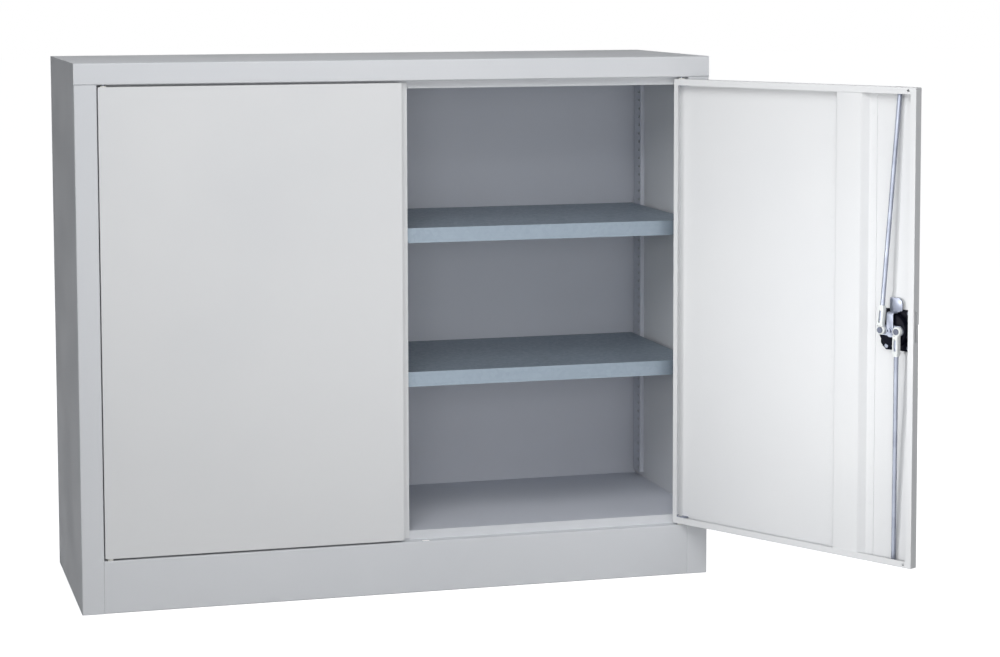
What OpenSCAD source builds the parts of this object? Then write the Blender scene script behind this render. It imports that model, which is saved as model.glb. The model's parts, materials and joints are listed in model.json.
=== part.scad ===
// Sheet-steel workshop cabinet with two hinged doors, two shelves and a three-point turn lock.
// Millimetres, +Z up, +X to the right, front face towards -Y.
// The origin is on the floor, in the middle of the body's footprint.
// The right door stands open and the left door is closed.

/* [Body] */
// Outer width of the body
body_w = 1200; // [900:10:1500]
// Outer depth of the body
body_d = 435; // [360:5:600]
// Outer height of the body
body_h = 1000; // [800:10:1400]
// Thickness of the body's sheet steel
sheet_t = 1.2; // [1:0.1:2]
// Outer radius of the folded edges
bend_r = 2.4; // [2:0.1:4]
// Width of a front post's face
post_w = 41; // [34:1:60]
// How far the outward return behind a post reaches
post_return_w = 26; // [15:1:30]
// Depth of the rebate that the doors close into
rebate_d = 22; // [20:0.2:30]
// Height of the fascia over the doors
fascia_h = 39; // [28:1:80]
// How far the door stop hangs below the fascia
top_stop_h = 15; // [9:1:25]
// Height of the plinth up to its ledge
plinth_h = 97; // [60:1:150]
// Step from the ledge up to the floor of the cabinet
floor_step = 17; // [8:1:30]
// Width of the flanges behind the back panel
rear_flange_w = 15; // [8:1:30]
// Width of the flange along the foot of the plinth
foot_flange_w = 15; // [8:1:30]
// Depth of the flanges under the floor panel
floor_flange_h = 15; // [8:1:25]
// Width of the channel under the floor
strut_w = 40; // [25:1:80]

/* [Shelves] */
// Slot of the uprights, from the bottom, that carries the upper shelf
upper_slot = 32; // [26:1:38]
// Slot of the uprights, from the bottom, that carries the lower shelf
lower_slot = 16; // [8:1:22]
// Height of a shelf's folded edge
shelf_h = 28; // [20:1:40]
// Thickness of the shelf's sheet
shelf_t = 1; // [0.8:0.1:1.5]
// Width of the return under a shelf's edge
shelf_lip = 12; // [9:0.5:20]
// Distance from the front face back to the shelf's edge
shelf_setback = 45; // [40:1:80]
// Width of a slotted upright
rail_w = 44; // [30:1:60]
// How far an upright stands out of the side panel
rail_d = 8; // [6:0.5:14]
// Thickness of the uprights
rail_t = 1.5; // [1:0.1:2]
// Distance between two slots
slot_pitch = 17; // [15:1:25]
// Height of a slot
slot_h = 5; // [4:0.5:7]
// Length of a slot, across the upright
slot_w = 11; // [8:0.5:14]
// Distance from an upright's front edge to the middle of its slots
slot_in = 11; // [10:0.5:15]
// Distance from the back face to the middle of the rear uprights
rail_rear_in = 33; // [28:1:60]
// Distance from the front face to the middle of the front uprights
rail_front_in = 68; // [60:1:110]

/* [Doors] */
// Angle at which the right door stands open
open_angle = 120; // [60:1:124]
// Thickness of a door over its folded edges
door_t = 16; // [15:0.5:18]
// Thickness of the door's sheet
skin_t = 1.2; // [0.8:0.1:1.5]
// Gap between a door and its post
gap_side = 2; // [1.6:0.1:4]
// Gap between the two doors
gap_mid = 2; // [1.5:0.1:4]
// Gap above the doors
gap_top = 4; // [3:0.1:6]
// Gap below the doors
gap_bottom = 4; // [3:0.1:6]
// Width of the return along the hinge edge
hinge_lip = 9.5; // [9:0.5:20]
// Width of the return along the free edge
free_lip = 12; // [8:0.5:12.5]
// Width of the returns along the top and the bottom
end_lip = 12; // [8:0.5:18]
// Distance from the free edge to the door's stiffener
stiffener_in = 119; // [110:1:160]
// Width of the stiffener's raised face
stiffener_w = 54; // [30:1:90]
// How far the stiffener's sloping sides spread
stiffener_slope = 9.5; // [6:0.5:11]
// Width of the stiffener's flanges
stiffener_flange = 17; // [12:1:18]
// Thickness of the stiffener
stiffener_t = 1; // [0.8:0.1:1.5]
// How far the astragal reaches past the left door's free edge
astragal_reach = 13.5; // [8:0.5:20]
// Thickness of the astragal
astragal_t = 1.2; // [1:0.1:2]
// Play between the astragal and the right door
astragal_play = 0.6; // [0.4:0.1:1.5]

/* [Hinges] */
// Distance from the hinge edge to the pivot
pivot_in = 10; // [8.5:0.5:12]
// Distance from the door's outer face to the pivot
pivot_depth = 5.6; // [5.5:0.1:6.5]
// Radius of a hinge pin
pin_r = 3; // [2.5:0.1:3.1]
// Radial play of a pin in its bush
pin_play = 0.05; // [0.02:0.01:0.1]
// Wall of a hinge bush
bush_wall = 1.15; // [1:0.05:1.2]
// Length of a hinge bush inside the door
bush_len = 13; // [12:1:30]
// Thickness of a hinge bracket
bracket_t = 2; // [1.5:0.1:3]
// Length of a hinge bracket along the door's edge
bracket_len = 26; // [20:1:40]

/* [Lock] */
// Distance from the free edge to the middle of the lock
lock_in = 46.5; // [44:0.5:50]
// Height of the lock above the floor
lock_z = 525; // [450:1:600]
// Radius of the recess round the handle
bowl_r = 27; // [26:0.5:28]
// Wall of the recess
bowl_wall = 2; // [1.5:0.1:2.2]
// Depth of the recess behind the door's outer face
bowl_depth = 13; // [10:0.5:13]
// Width of the escutcheon
shell_w = 78; // [74:1:84]
// Height of the escutcheon
shell_h = 90; // [84:1:110]
// Thickness of the escutcheon's rim
rim_t = 2.5; // [2:0.1:4]
// Distance from the lock's middle to the pins of the rotor
crank_r = 17.3; // [16:0.1:18]
// Radius of a rod
rod_r = 4; // [3.5:0.1:4.5]
// How far the rods stay short of the door's edges when the lock is open
rod_short = 3; // [2:0.5:6]
// Distance from the free edge to the middle of the rod slots
guide_in = 41.5; // [40:0.5:43]
// Length of the rod slots along the door
guide_slot = 15; // [14:0.5:18]
// Thickness of the latch tongue
tongue_t = 2.5; // [2:0.1:3]
// Distance from the lock's middle to the end of the tongue
tongue_r = 58; // [56:0.5:62]

/* [Hidden] */
$fn = 48;

// Faces of the body
x_out = body_w / 2;
x_in = x_out - sheet_t;
y_front = -body_d / 2;
y_back = body_d / 2;
y_rebate = y_front + rebate_d;
y_panel = y_back - 2 * sheet_t;
door_opening = body_w - 2 * post_w;
z_fascia = body_h - fascia_h;
z_floor = plinth_h + floor_step;

// Doors, in leaf coordinates: u runs from the free edge to the hinge edge, v from the outer face
// inwards, and z is the height above the floor.
leaf_w = (door_opening - gap_mid) / 2 - gap_side;
leaf_x = gap_mid / 2;
leaf_z0 = plinth_h + gap_bottom;
leaf_z1 = z_fascia - gap_top;
leaf_h = leaf_z1 - leaf_z0;
lip_v = door_t - skin_t;
pivot_u = leaf_w - pivot_in;
pivot_x = leaf_x + pivot_u;
pivot_y = y_front + pivot_depth;

// Hinges
bush_r = pin_r + pin_play + bush_wall;
bush_rim_r = pivot_depth - 0.3;
bush_lift = 0.3;
seat_play = 0.05;

// Uprights: their slots count from 0 at the bottom
rail_clear = 10;
rail_z0 = z_floor + rail_clear;
rail_z1 = z_fascia - top_stop_h;
slot_count = floor((rail_z1 - rail_z0) / slot_pitch);
clip_drop = 21.5;
clip_w = 18;
clip_t = 1.5;
clip_play = 0.15;
clip_tab = 14;
clip_plate_h = 26;
rail_face_x = x_in - rail_d;
shelf_x = rail_face_x - clip_t - 2 * clip_play;
function slot_z(k) = rail_z0 + slot_pitch * (k + 0.5);
function slot_y(y) = y - rail_w / 2 + slot_in;
function shelf_z(k) = slot_z(k) - clip_drop;

// Lock, measured inwards from the door's outer face
shaft_r = 6;
square = 8;
bowl_out_r = bowl_r + bowl_wall;
bowl_floor = 3;
v_bowl = bowl_depth + bowl_floor;
rotor_gap = 1;
rotor_t = 3;
v_rotor = v_bowl + rotor_gap;
v_arm = v_rotor + rotor_t;
lobe_r = 9;
stud_r = 3;
clip_head_r = 8.3;
clip_head_t = 7;
clip_gap = 0.3;
v_clip = v_arm + clip_gap;
rod_wall = 1.5;
rod_v = v_clip + rod_r + rod_wall;
guide_v = 7.7;
rod_start = 16;
rod_swing = 2;
rod_clip_len = 40;
guide_wall = 1.2;
guide_slot_w = 2 * rod_r + 2;
plate_t = 3.8;
v_plate = skin_t + plate_t;
tongue_w = 14;
v_tongue = 6.3;
tongue_leg = bowl_out_r + 1.3;
tongue_lead = 17;
tongue_trail = 10;
edge_slot_v0 = 5;
edge_slot_v1 = 10;
edge_slot_z0 = -19;
edge_slot_z1 = 37;
screw_u = 28;
screw_z = 31;

// ---------------------------------------------------------------- helpers

function unit(p) = p / norm(p);

// Section of a strip folded at right angles. The path is its middle line.
module folded_strip(path, t, r_out) {
  r = r_out - t / 2;
  last = len(path) - 1;
  for (i = [0 : last - 1]) {
    dir = unit(path[i + 1] - path[i]);
    from = i == 0 ? path[i] : path[i] + dir * r;
    to = i == last - 1 ? path[i + 1] : path[i + 1] - dir * r;
    translate((from + to) / 2)
      square([abs(to.x - from.x) + (dir.x == 0 ? t : 0), abs(to.y - from.y) + (dir.y == 0 ? t : 0)],
             center = true);
  }
  for (i = [1 : last - 1]) {
    back = unit(path[i - 1] - path[i]);
    on = unit(path[i + 1] - path[i]);
    translate(path[i] + (back + on) * r)
      intersection() {
        difference() {
          circle(r + t / 2);
          if (r > t / 2) circle(r - t / 2);
        }
        polygon([[0, 0], -back * 2 * r, -(back + on) * 2 * r, -on * 2 * r]);
      }
  }
}

// The path with its corners rounded to radius r
function eased(path, r) = [
  path[0],
  for (i = [1 : len(path) - 2])
    let (a = unit(path[i] - path[i - 1]), b = unit(path[i + 1] - path[i]), half = acos(a * b) / 2)
    each [path[i] - a * r * tan(half), path[i] + unit(b - a) * r * (1 / cos(half) - 1),
          path[i] + b * r * tan(half)],
  path[len(path) - 1]
];

// The path moved sideways by d
function beside(path, d) = [
  for (i = [0 : len(path) - 1])
    let (a = unit(path[max(i, 1)] - path[max(i, 1) - 1]), last = len(path) - 1,
         b = unit(path[min(i + 1, last)] - path[min(i, last - 1)]), n = unit([-a.y - b.y, a.x + b.x]))
    path[i] + n * d / (n * [-a.y, a.x])
];

// Section of a strip bent at any angle. The path is its middle line.
module bent_strip(path, t, r) {
  line = eased(path, r);
  back = beside(line, -t / 2);
  polygon(concat(beside(line, t / 2), [for (i = [1 : len(back)]) back[len(back) - i]]));
}

// A square plate with true round corners, centred
module rounded(w, h, r) {
  square([w - 2 * r, h], center = true);
  square([w, h - 2 * r], center = true);
  for (sx = [-1, 1], sy = [-1, 1])
    translate([sx * (w / 2 - r), sy * (h / 2 - r)]) circle(r);
}

// A slot with round ends along X, centred
module obround(l, w) {
  square([l - w, w], center = true);
  for (s = [-1, 1]) translate([s * (l - w) / 2, 0]) circle(w / 2);
}

// Extrudes a section in (y, z) along X
module along_x(x0, x1)
  translate([x0, 0, 0]) rotate([90, 0, 90]) linear_extrude(x1 - x0) children();

// A folded pan: a closed face and four returns that end in inward lips. The face is at z = 0.
module pan(w, h, depth, t, lip_x0, lip_x1, lip_y, r) {
  difference() {
    linear_extrude(depth) translate([w / 2, h / 2]) rounded(w, h, r);
    translate([t, t, t]) cube([w - 2 * t, h - 2 * t, depth - 2 * t]);
    translate([lip_x0, lip_y, t]) cube([w - lip_x0 - lip_x1, h - 2 * lip_y, depth]);
  }
}

// Leaf coordinates of the left door, closed
module left_leaf() mirror([1, 0, 0]) translate([leaf_x, y_front, 0]) children();

// Leaf coordinates of the right door, standing open
module right_leaf()
  translate([pivot_x, pivot_y, 0]) rotate([0, 0, open_angle])
    translate([-pivot_u, -pivot_depth, 0]) children();

// Coordinates of the lock: x from its middle to the hinge side, y inwards from the outer face
module lock() right_leaf() translate([lock_in, 0, lock_z]) children();

// A disc or rod from depth v0 to depth v1, across the door
module across(v0, v1, r, r2 = undef)
  translate([0, v0, 0]) rotate([-90, 0, 0]) cylinder(h = v1 - v0, r1 = r, r2 = is_undef(r2) ? r : r2);

// A flat outline in (u, z), extruded from depth v0 to depth v1
module plate(v0, v1) translate([0, v1, 0]) rotate([90, 0, 0]) linear_extrude(v1 - v0) children();

// ---------------------------------------------------------------- carcass

// Section of the cap over its whole width, in (y, z)
module cap_section() {
  half = sheet_t / 2;
  folded_strip([
    [y_back - half, body_h - rear_flange_w], [y_back - half, body_h - half],
    [y_front + half, body_h - half], [y_front + half, z_fascia + half],
    [y_rebate - bend_r, z_fascia + half]
  ], sheet_t, bend_r);
}

// Side sheet, folded at the front into a post and at the back into a flange
module side_panel() {
  half = sheet_t / 2;
  x = -x_out + half;
  post_x = -x_out + post_w - half;
  linear_extrude(z_fascia)
    folded_strip([
      [x, 0], [x, y_front + half], [post_x, y_front + half], [post_x, y_rebate - half],
      [post_x - post_return_w, y_rebate - half]
    ], sheet_t, bend_r);
  linear_extrude(body_h - rear_flange_w)
    folded_strip([
      [-x_out + rear_flange_w, y_back - half], [x, y_back - half], [x, y_rebate - bend_r]
    ], sheet_t, bend_r);
  // upper end of the sheet, between the folds of the cap
  difference() {
    translate([-x_out, y_front + sheet_t, z_fascia + sheet_t])
      cube([sheet_t, body_d - 2 * sheet_t, fascia_h - 2 * sheet_t]);
    along_x(-x_out - 1, x_out) cap_section();
  }
}

module side_panel_left() color("gainsboro") side_panel();

module side_panel_right() color("gainsboro") mirror([1, 0, 0]) side_panel();

module top_cap() color("gainsboro") {
  half = sheet_t / 2;
  difference() {
    union() {
      along_x(-x_out, x_out) cap_section();
      along_x(-door_opening / 2, door_opening / 2)
        folded_strip([
          [y_front + bend_r, z_fascia + half], [y_rebate - half, z_fascia + half],
          [y_rebate - half, z_fascia - top_stop_h]
        ], sheet_t, bend_r);
    }
    frame_holes(z_fascia - 1);
  }
}

// Holes for the hinge pins and the slot for a rod, through a flange above z
module frame_holes(z) {
  for (s = [-1, 1])
    translate([s * pivot_x, pivot_y, z]) cylinder(h = sheet_t + 2, r = pin_r + seat_play);
  translate([leaf_x + guide_in, y_front + guide_v + 0.4, z])
    linear_extrude(sheet_t + 2) obround(guide_slot + 1, guide_slot_w + 1);
}

module back_panel() color("lightgray")
  translate([bend_r - x_out, y_panel, 0]) cube([body_w - 2 * bend_r, sheet_t, body_h - bend_r]);

// Floor of the cabinet: a tray turned upside down
module floor_panel() color("gainsboro") difference() {
  translate([-x_in, y_rebate, z_floor - floor_flange_h])
    cube([2 * x_in, y_panel - y_rebate, floor_flange_h]);
  translate([-x_in + sheet_t, y_rebate + sheet_t, z_floor - floor_flange_h - 1])
    cube([2 * (x_in - sheet_t), y_panel - y_rebate - 2 * sheet_t, floor_flange_h - sheet_t + 1]);
}

module plinth_front() color("gainsboro") {
  half = sheet_t / 2;
  difference() {
    along_x(-door_opening / 2, door_opening / 2)
      folded_strip([
        [y_front + foot_flange_w, half], [y_front + half, half], [y_front + half, plinth_h - half],
        [y_rebate - half, plinth_h - half], [y_rebate - half, z_floor]
      ], sheet_t, bend_r);
    frame_holes(plinth_h - sheet_t - 1);
  }
}

// Channel under the floor. It stands on the ground and carries the middle of the wide floor.
module centre_strut() color("silver") {
  half = rail_t / 2;
  top = z_floor - sheet_t;
  edge = strut_w / 2 - half;
  translate([0, y_panel - sheet_t, 0]) rotate([90, 0, 0])
    linear_extrude(y_panel - y_rebate - 2 * sheet_t)
    folded_strip([[-edge, top], [-edge, half], [edge, half], [edge, top]], rail_t, bend_r);
}

// Slotted channel on a side panel, on the left, with its middle at y
module rail(y) {
  half = rail_t / 2;
  face = -x_in + rail_d - half;
  edge = rail_w / 2 - half;
  difference() {
    translate([0, y, rail_z0]) linear_extrude(slot_count * slot_pitch)
      folded_strip([[-x_in, -edge], [face, -edge], [face, edge], [-x_in, edge]], rail_t, bend_r);
    for (k = [0 : slot_count - 1])
      translate([face - rail_t, slot_y(y), slot_z(k)]) rotate([90, 0, 90])
        linear_extrude(2 * rail_t) obround(slot_w, slot_h);
  }
}

module rail_front_left() color("gainsboro") rail(y_front + rail_front_in);

module rail_front_right() color("gainsboro") mirror([1, 0, 0]) rail(y_front + rail_front_in);

module rail_rear_left() color("gainsboro") rail(y_back - rail_rear_in);

module rail_rear_right() color("gainsboro") mirror([1, 0, 0]) rail(y_back - rail_rear_in);

// Shelf with its top face up, its edges folded down and in
module shelf(k) {
  y0 = y_front + shelf_setback;
  depth = y_panel - clip_t - y0;
  translate([-shelf_x, y0, shelf_z(k) + shelf_h]) mirror([0, 0, 1])
    pan(2 * shelf_x, depth, shelf_h, shelf_t, shelf_lip, shelf_lip, shelf_lip, bend_r);
}

module shelf_upper() color("lightsteelblue") shelf(upper_slot);

module shelf_lower() color("lightsteelblue") shelf(lower_slot);

// One clip: a plate on the upright, a lug in the slot and a tab under the shelf
module shelf_clip(k, y) translate([-rail_face_x, slot_y(y), 0]) {
  z0 = shelf_z(k) - clip_t;
  lug_h = slot_h - 1;
  lug_w = slot_w - slot_h + 1;
  translate([clip_play, -clip_w / 2, z0]) cube([clip_t, clip_w, clip_plate_h]);
  translate([clip_play, -clip_w / 2, z0]) cube([clip_tab, clip_w, clip_t]);
  translate([-rail_t - 1, -lug_w / 2, slot_z(k) - lug_h / 2])
    cube([rail_t + 1 + clip_play + clip_t / 2, lug_w, lug_h]);
  translate([-rail_t - 1 - clip_t, -lug_w / 2, slot_z(k) - slot_h])
    cube([clip_t, lug_w, slot_h + lug_h / 2]);
}

module shelf_clips() color("silver")
  for (s = [0, 1], k = [upper_slot, lower_slot], y = [y_front + rail_front_in, y_back - rail_rear_in])
    mirror([s, 0, 0]) shelf_clip(k, y);

// Pivot pins, headed above the top flange and below the ledge
module hinge_pins() color("silver") {
  reach = bush_len - 1;
  for (s = [-1, 1]) translate([s * pivot_x, pivot_y, 0]) {
    translate([0, 0, leaf_z1 - reach]) cylinder(h = z_fascia + sheet_t - leaf_z1 + reach, r = pin_r);
    translate([0, 0, z_fascia + sheet_t]) pin_head();
    translate([0, 0, plinth_h - sheet_t]) cylinder(h = leaf_z0 + reach - plinth_h + sheet_t, r = pin_r);
    translate([0, 0, plinth_h - sheet_t]) mirror([0, 0, 1]) pin_head();
  }
}

// Head with a flat that lies along the fold of the front face
module pin_head() {
  head_r = 6;
  head_h = 2.5;
  intersection() {
    cylinder(h = head_h, r = head_r);
    translate([-head_r, bend_r - pivot_depth + 0.2, 0]) cube([2 * head_r, 2 * head_r, head_h]);
  }
}

// ---------------------------------------------------------------- doors

// Door pan in leaf coordinates
module door_skin() difference() {
  translate([0, 0, leaf_z0]) mirror([0, 1, 0]) rotate([90, 0, 0])
    pan(leaf_w, leaf_h, door_t, skin_t, free_lip, hinge_lip, end_lip, bend_r);
  // bush holes through the top and bottom returns
  for (z = [leaf_z0, leaf_z1 - skin_t])
    translate([pivot_u, pivot_depth, z - 1]) cylinder(h = skin_t + 2, r = bush_r + seat_play);
  // slot in the free edge for the latch tongue
  translate([-1, edge_slot_v0, lock_z + edge_slot_z0])
    cube([skin_t + 2, edge_slot_v1 - edge_slot_v0, edge_slot_z1 - edge_slot_z0]);
}

module door_skin_left() color("gainsboro") left_leaf() door_skin();

module door_skin_right() color("gainsboro") right_leaf() difference() {
  door_skin();
  // slots for the rods and their guides
  for (z = [leaf_z0, leaf_z1 - skin_t])
    translate([guide_in, guide_v + 0.4, z - 1]) linear_extrude(skin_t + 2)
      obround(guide_slot + 2 * (guide_wall + seat_play), guide_slot_w + 2 * (guide_wall + seat_play));
  // round cut-out and screw holes of the lock
  translate([lock_in, 0, lock_z]) {
    across(-1, skin_t + 1, bowl_out_r + 0.3);
    lock_screw_places() across(-1, skin_t + 1, 2.4);
  }
  // hanging holes for the paint line
  for (z = [leaf_z0 + end_lip / 2, leaf_z1 - end_lip / 2])
    translate([end_lip + 5, 0, z]) across(lip_v - 1, door_t + 1, 2.5);
}

// Hat section along the door, tucked under the end lips
module stiffener() {
  half = stiffener_t / 2;
  low = skin_t + half;
  high = lip_v - half;
  u0 = stiffener_in;
  u1 = stiffener_in + stiffener_w;
  translate([0, 0, leaf_z0 + skin_t]) linear_extrude(leaf_h - 2 * skin_t)
    bent_strip([
      [u0 - stiffener_slope - stiffener_flange, low], [u0 - stiffener_slope, low], [u0, high],
      [u1, high], [u1 + stiffener_slope, low], [u1 + stiffener_slope + stiffener_flange, low]
    ], stiffener_t, 2 * stiffener_t);
}

module stiffener_left() color("gainsboro") left_leaf() stiffener();

module stiffener_right() color("gainsboro") right_leaf() stiffener();

// Strip on the left door's free lip that covers the gap from behind
module astragal_strip() color("gainsboro") left_leaf() {
  step_u = 1;
  stiff_h = 6;
  clear = 3;
  translate([0, 0, leaf_z0]) linear_extrude(leaf_h) {
    translate([step_u, door_t]) square([free_lip - step_u, astragal_t]);
    translate([step_u, door_t]) square([astragal_t, astragal_t + astragal_play]);
    translate([-astragal_reach, door_t + astragal_play])
      square([astragal_reach + step_u + astragal_t, astragal_t]);
  }
  // stiffening return, cut short of the stops
  translate([-astragal_reach, door_t + astragal_play, z_floor + clear])
    cube([astragal_t, stiff_h, rail_z1 - z_floor - 2 * clear]);
}

// Angle brackets that hold the bushes, one near each end of the hinge edge
module hinge_brackets() {
  depth = lip_v - skin_t;
  for (end = [0, 1]) difference() {
    z0 = end == 0 ? leaf_z0 + bush_len - bracket_t : leaf_z1 - bush_len;
    leg_z0 = end == 0 ? leaf_z0 + skin_t : leaf_z1 - bush_len;
    union() {
      translate([leaf_w - skin_t - bracket_len, skin_t, z0]) cube([bracket_len, depth, bracket_t]);
      translate([leaf_w - skin_t - bracket_t, skin_t, leg_z0])
        cube([bracket_t, depth, bush_len - skin_t]);
    }
    translate([pivot_u, pivot_depth, z0 - 1]) cylinder(h = bracket_t + 2, r = bush_r + seat_play);
  }
}

module hinge_brackets_left() color("silver") left_leaf() hinge_brackets();

module hinge_brackets_right() color("silver") right_leaf() hinge_brackets();

// Flanged bushes. The lower one carries the door on the ledge.
module hinge_bushes() translate([pivot_u, pivot_depth, 0]) {
  rim = [gap_bottom - bush_lift, gap_top / 2];
  difference() {
    union() {
      translate([0, 0, leaf_z0 - rim[0]]) cylinder(h = rim[0], r = bush_rim_r);
      translate([0, 0, leaf_z0 - rim[0]]) cylinder(h = bush_len + rim[0], r = bush_r);
      translate([0, 0, leaf_z1]) cylinder(h = rim[1], r = bush_rim_r);
      translate([0, 0, leaf_z1 - bush_len]) cylinder(h = bush_len + rim[1], r = bush_r);
    }
    translate([0, 0, leaf_z0 - rim[0] - 1]) cylinder(h = bush_len + rim[0] + 2, r = pin_r + pin_play);
    translate([0, 0, leaf_z1 - bush_len - 1]) cylinder(h = bush_len + rim[1] + 2, r = pin_r + pin_play);
  }
}

module hinge_bushes_left() color("whitesmoke") left_leaf() hinge_bushes();

module hinge_bushes_right() color("whitesmoke") right_leaf() hinge_bushes();

// ---------------------------------------------------------------- lock case

// Plastic guides for the rods in the top and bottom returns
module rod_guides() color("dimgray") right_leaf()
  for (end = [0, 1]) translate([guide_in, guide_v + 0.4, 0]) {
    z_in = end == 0 ? leaf_z0 + skin_t : leaf_z1 - skin_t - 3;
    z_out = end == 0 ? leaf_z0 : leaf_z1 - skin_t - 3;
    difference() {
      union() {
        translate([0, 0, z_in]) linear_extrude(3) obround(guide_slot + 8, guide_slot_w + 3);
        translate([0, 0, z_out]) linear_extrude(3 + skin_t)
          obround(guide_slot + 2 * guide_wall, guide_slot_w + 2 * guide_wall);
      }
      translate([0, 0, z_out - 1]) linear_extrude(6 + skin_t) obround(guide_slot, guide_slot_w);
    }
  }

module lock_screw_places()
  for (sx = [-1, 1], sz = [-1, 1]) translate([sx * screw_u, 0, sz * screw_z]) children();

// Escutcheon with a round recess for the handle
module handle_shell() color("#1c1c20") lock() difference() {
  union() {
    plate(-rim_t, 0) rounded(shell_w, shell_h, 8);
    across(-rim_t / 2, v_bowl, bowl_out_r);
  }
  across(-rim_t - 1, bowl_depth, bowl_r);
  across(bowl_depth - 1, v_bowl + 1, shaft_r + pin_play);
  lock_screw_places() across(-rim_t + 1, 1, 2.05);
}

// Plate behind the door's sheet, with one chamfered corner
module lock_base_plate() color("#1c1c20") lock() difference() {
  left = 31;
  right = 35;
  top = 37;
  chamfer = 11;
  plate(skin_t, v_plate)
    polygon([[-right, top], [left, top], [left, -top + chamfer], [left - chamfer, -top], [-right, -top]]);
  across(0, v_plate + 1, bowl_out_r + 0.2);
  lock_screw_places() across(0, v_plate + 1, 2.05);
  lock_screw_places() across(v_plate - 2, v_plate + 0.001, 2.05, 4.05);
}

module lock_screws() color("silver") lock() lock_screw_places() {
  across(-rim_t + 1.3, v_plate - 2, 2);
  across(v_plate - 2, v_plate, 2, 4);
}

// ---------------------------------------------------------------- turning parts of the lock

// Grip in the recess, with its shaft and square end. It lies along the door when open.
module turn_handle() color("#26262b") lock() difference() {
  union() {
    hull() {
      plate(bowl_depth - 4, bowl_depth - 1) obround(2 * bowl_r - 5, 16);
      plate(-rim_t - 2.5, bowl_depth - 4) obround(2 * bowl_r - 7, 14);
      plate(-rim_t - 4, -rim_t - 2.5) obround(2 * bowl_r - 10, 11);
    }
    across(-rim_t - 4.5, bowl_depth - 0.5, 12.5);
    across(bowl_depth - 1, v_rotor, shaft_r);
    plate(v_rotor, v_arm + tongue_t) square(square, center = true);
  }
  across(-rim_t - 5, 6, 9);
  across(v_bowl, v_arm + tongue_t + 1, 2.5);
}

// Double-armed rotor
module lock_rotor() color("silver") lock() difference() {
  union() {
    plate(v_rotor, v_arm) obround(2 * (crank_r + lobe_r), 2 * lobe_r);
    across(v_rotor, v_arm, 12);
  }
  plate(v_rotor - 1, v_arm + 1) square(square, center = true);
  for (s = [-1, 1]) translate([s * crank_r, 0, 0]) across(v_rotor - 1, v_arm + 1, stud_r + seat_play);
}

// Headed studs that carry the rods' clips
module rotor_pins() color("silver") lock()
  for (s = [-1, 1]) translate([s * crank_r, 0, 0]) {
    across(v_rotor, v_clip + clip_head_t + clip_gap, stud_r);
    across(v_clip + clip_head_t + clip_gap, v_clip + clip_head_t + clip_gap + 1.5, stud_r + 2.5);
  }

// Tongue: an arm on the rotor, cranked down behind the recess, with a wide nose
module latch_tongue() color("silver") lock() {
  half = tongue_t / 2;
  leg = tongue_leg + half;
  difference() {
    translate([-tongue_w / 2, 0, 0]) rotate([90, 0, 90]) linear_extrude(tongue_w)
      folded_strip([
        [v_arm + half, -tongue_w / 2], [v_arm + half, leg], [v_tongue + half, leg],
        [v_tongue + half, tongue_r - 8]
      ], tongue_t, tongue_t + 0.5);
    plate(v_arm - 1, v_arm + tongue_t + 1) square(square, center = true);
  }
  plate(v_tongue, v_tongue + tongue_t) nose();
}

// Outline of the tongue's nose, with the corner that leads into the edge slot cut round
module nose() intersection() {
  translate([-tongue_lead, tongue_leg + tongue_t])
    square([tongue_lead + tongue_trail, tongue_r - tongue_leg - tongue_t]);
  union() {
    translate([-tongue_lead + 12, tongue_r - 12]) circle(12);
    translate([-tongue_lead + 12, tongue_leg]) square([40, tongue_r - tongue_leg]);
    translate([-tongue_lead, tongue_leg]) square([40, tongue_r - 12 - tongue_leg]);
  }
}

module rotor_screw() color("silver") lock() {
  v0 = v_arm + tongue_t;
  across(v_bowl + 1, v0, 2.45);
  across(v0, v0 + 1.2, 6.5);
  difference() {
    across(v0 + 1.2, v0 + 5, 4.2);
    plate(v0 + 2.6, v0 + 6) circle(2.3, $fn = 6);
  }
}

// Cylinder of the key lock, fixed in the grip
module lock_barrel() color("gainsboro") lock() difference() {
  union() {
    across(-rim_t - 4.5, 6, 9 - seat_play);
    across(-rim_t - 5.5, -rim_t - 4.5, 10);
  }
  across(-rim_t - 6, 4.5, shaft_r + pin_play);
}

// Core that turns with the key, with its keyway
module lock_plug() color("goldenrod") lock() difference() {
  across(-rim_t - 5.8, 4.2, shaft_r);
  plate(-rim_t - 6, 2) square([1.4, 7.5], center = true);
}

// ---------------------------------------------------------------- rods

// Places a rod's clip and rod: the pivot is the origin and the rod runs along +Z or -Z.
// side is 1 for the upper rod and -1 for the lower one.
module rod_place(side) {
  z_end = side > 0 ? leaf_z1 : leaf_z0;
  run = abs(z_end - lock_z);
  du = rod_du(side);
  dv = guide_v - rod_v;
  lock() translate([side * crank_r, rod_v, 0])
    rotate([side * asin(-dv / norm([du, dv, run])), atan2(side * du, run), 0]) children();
}

// Sideways step from the pivot to the rod's end. The end starts off the middle of its slot and
// swings to the other side of it and back as the lock turns.
function rod_du(side) = guide_in - side * rod_swing - lock_in - side * crank_r;

// Straight length from the pivot to the rod's free end
function rod_len(side) =
  let (z_end = side > 0 ? leaf_z1 : leaf_z0)
  norm([rod_du(side), guide_v - rod_v, abs(z_end - lock_z)]) - rod_short;

module rod(side) rod_place(side) mirror([0, 0, side > 0 ? 0 : 1]) {
  translate([0, 0, rod_start]) cylinder(h = rod_len(side) - rod_start - 3, r = rod_r);
  translate([0, 0, rod_len(side) - 3]) cylinder(h = 3, r1 = rod_r, r2 = rod_r - 1.5);
}

module rod_upper() color("silver") rod(1);

module rod_lower() color("silver") rod(-1);

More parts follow.
